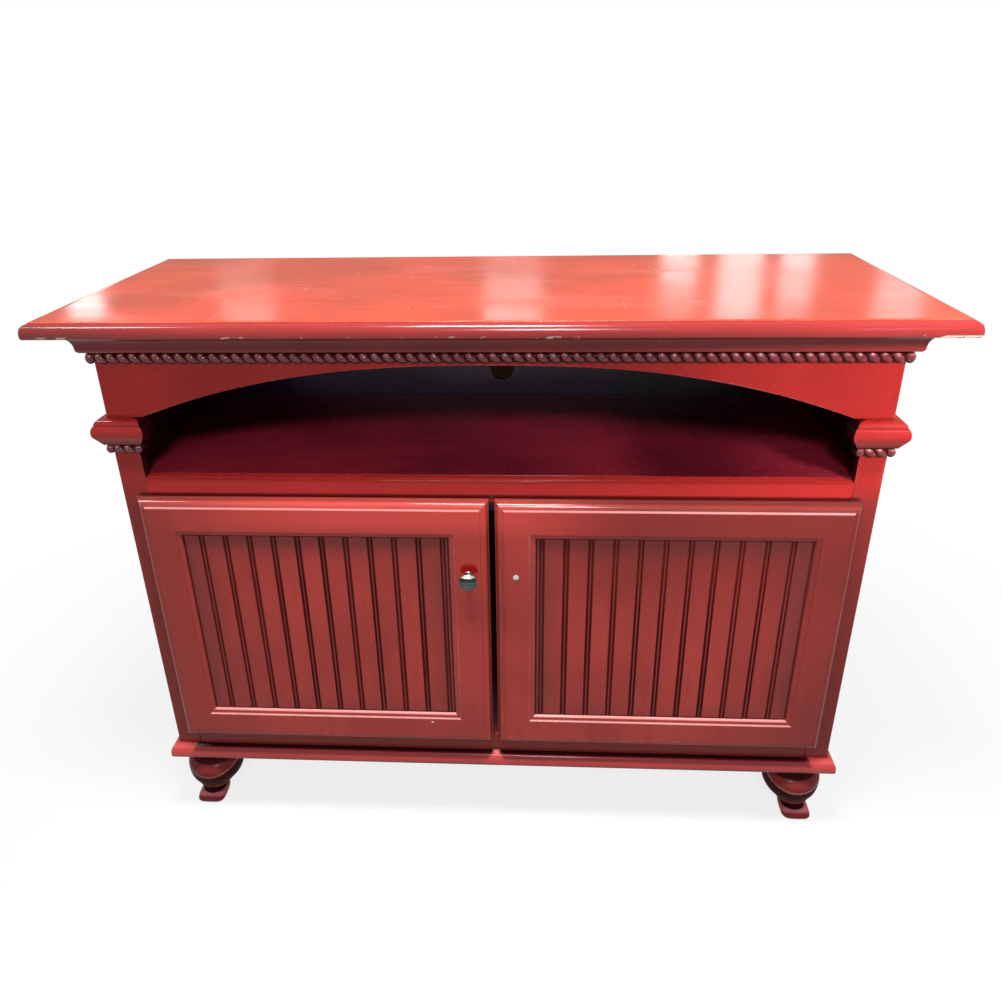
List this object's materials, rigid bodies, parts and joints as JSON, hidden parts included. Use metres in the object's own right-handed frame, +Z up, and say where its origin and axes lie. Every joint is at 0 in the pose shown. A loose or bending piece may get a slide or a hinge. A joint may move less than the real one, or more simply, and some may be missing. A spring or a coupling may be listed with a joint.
{
  "type": "media console",
  "caption": "Red painted wooden media console: an open arched bay over beaded overlay doors, with rope mouldings, corner capitals, a thumbnail-edged top and turned feet.",
  "frame": {"origin": "on the floor, under the middle of the top", "axes": "+X to the right along the width, +Y to the back, +Z up; the doors face -Y"},
  "size_m": [1.412, 0.549, 1.0363],
  "materials": {
    "red_paint": "semi-gloss rubbed red paint",
    "dark_red_paint": "glossy dark maroon paint",
    "brown_board": "bare brown board",
    "pewter": "dark worn pewter",
    "steel": "plain steel",
    "brass": "aged brass",
    "black_plastic": "matt"
  },
  "bodies": {
    "carcass": {"arched_apron": "red_paint", "back_panel": "dark_red_paint", "base_moulding_front": "red_paint", "base_moulding_left": "red_paint", "base_moulding_right": "red_paint", "bottom_rail": "red_paint", "cabinet_floor": "brown_board", "capital_left": "red_paint", "capital_right": "red_paint", "capital_rope_left": "red_paint", "capital_rope_right": "red_paint", "cornice_front": "red_paint", "cornice_left": "red_paint", "cornice_right": "red_paint", "foot_front_left": "red_paint", "foot_front_right": "red_paint", "foot_rear_left": "red_paint", "foot_rear_right": "red_paint", "front_batten": "brown_board", "left_door_lower_hinge_frame_leaf": "brass", "left_door_lower_hinge_pin": "brass", "left_door_upper_hinge_frame_leaf": "brass", "left_door_upper_hinge_pin": "brass", "left_side": "red_paint", "left_stile": "red_paint", "magnetic_catch": "black_plastic", "media_shelf": "dark_red_paint", "rear_batten": "brown_board", "right_door_lower_hinge_frame_leaf": "brass", "right_door_lower_hinge_pin": "brass", "right_door_upper_hinge_frame_leaf": "brass", "right_door_upper_hinge_pin": "brass", "right_side": "red_paint", "right_stile": "red_paint", "rope_front": "red_paint", "rope_left": "red_paint", "rope_right": "red_paint", "shelf_rail": "red_paint", "top_slab": "red_paint"},
    "left_door": {"knob": "pewter", "knob_screw": "steel", "left_door_bead_panel": "red_paint", "left_door_bottom_rail": "red_paint", "left_door_hinge_stile": "red_paint", "left_door_lower_hinge_door_leaf": "brass", "left_door_meeting_stile": "red_paint", "left_door_strike_plate": "steel", "left_door_top_rail": "red_paint", "left_door_upper_hinge_door_leaf": "brass"},
    "right_door": {"bare_knob_screw": "steel", "right_door_bead_panel": "red_paint", "right_door_bottom_rail": "red_paint", "right_door_hinge_stile": "red_paint", "right_door_lower_hinge_door_leaf": "brass", "right_door_meeting_stile": "red_paint", "right_door_strike_plate": "steel", "right_door_top_rail": "red_paint", "right_door_upper_hinge_door_leaf": "brass"}
  },
  "joints": [
    {"name": "left_door_hinge", "type": "hinge", "parent": "carcass", "child": "left_door", "pos_m": [-0.6077, -0.2063, 0.205], "axis": [0, 0, -1], "range_deg": [0, 95]},
    {"name": "right_door_hinge", "type": "hinge", "parent": "carcass", "child": "right_door", "pos_m": [0.6077, -0.2063, 0.205], "axis": [0, 0, 1], "range_deg": [0, 95]}
  ]
}
